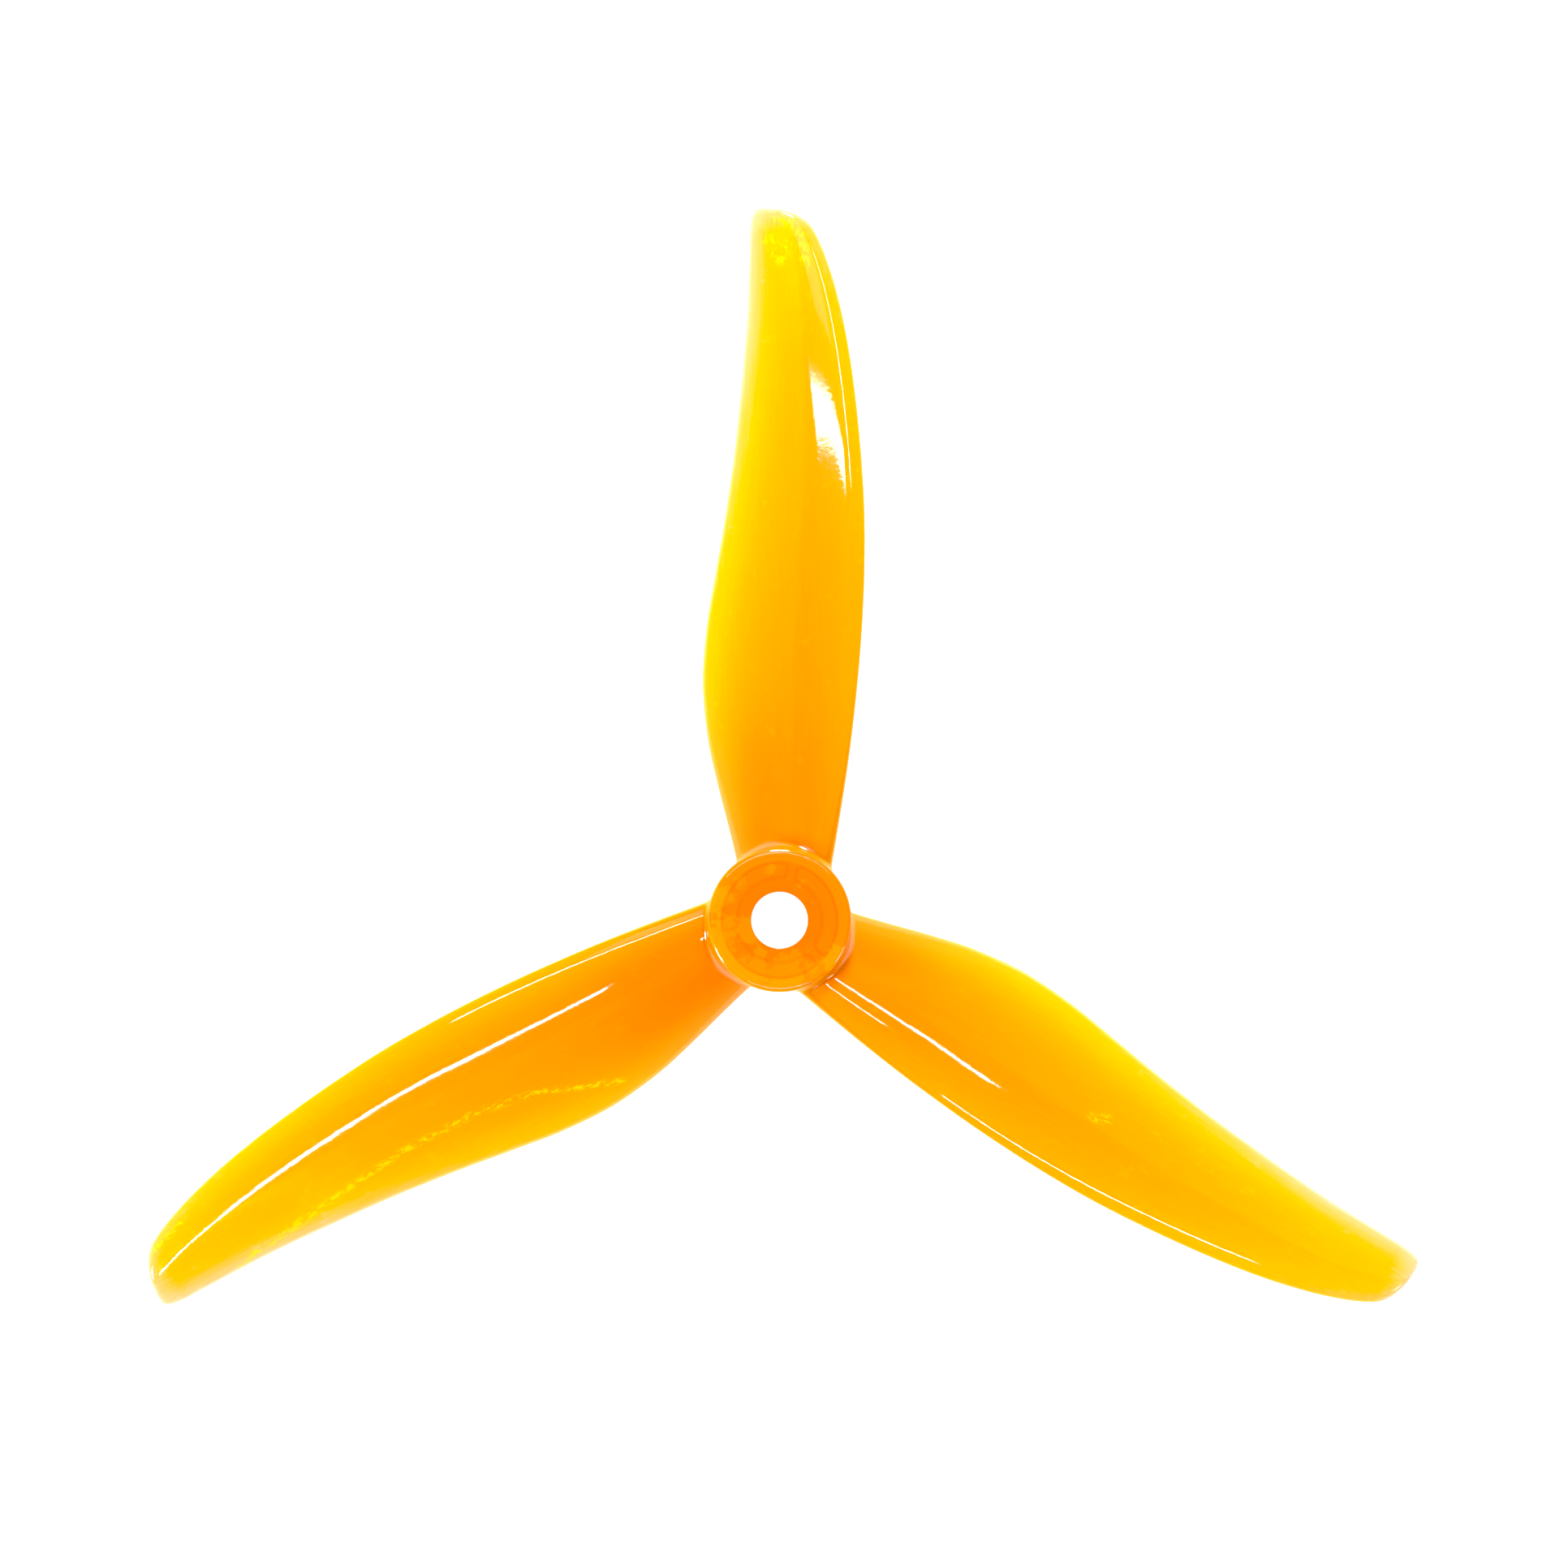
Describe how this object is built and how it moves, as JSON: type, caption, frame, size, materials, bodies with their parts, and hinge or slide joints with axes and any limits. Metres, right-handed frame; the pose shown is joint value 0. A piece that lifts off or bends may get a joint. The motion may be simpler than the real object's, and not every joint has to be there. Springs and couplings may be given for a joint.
{
  "type": "multirotor propeller",
  "caption": "Quadcopter propeller moulded in clear amber plastic, with swept blades, clipped tips and a round hub bored for a motor shaft.",
  "frame": {"origin": "on the spin axis, halfway between the hub's two faces, which is the propeller's centre of mass", "axes": "+Z along the spin axis, from the motor's side to the nut's side; +Y out along blade_1; seen from +Z the propeller turns clockwise"},
  "size_m": [0.1134, 0.0991, 0.0074],
  "materials": {
    "amber_polycarbonate": "clear, polished injection-moulded polycarbonate"
  },
  "bodies": {
    "root": {"hub_shell": "amber_polycarbonate", "shaft_boss": "amber_polycarbonate", "hub_rib_1": "amber_polycarbonate", "hub_rib_2": "amber_polycarbonate", "hub_rib_3": "amber_polycarbonate", "blade_1": "amber_polycarbonate", "blade_2": "amber_polycarbonate", "blade_3": "amber_polycarbonate"}
  },
  "joints": []
}
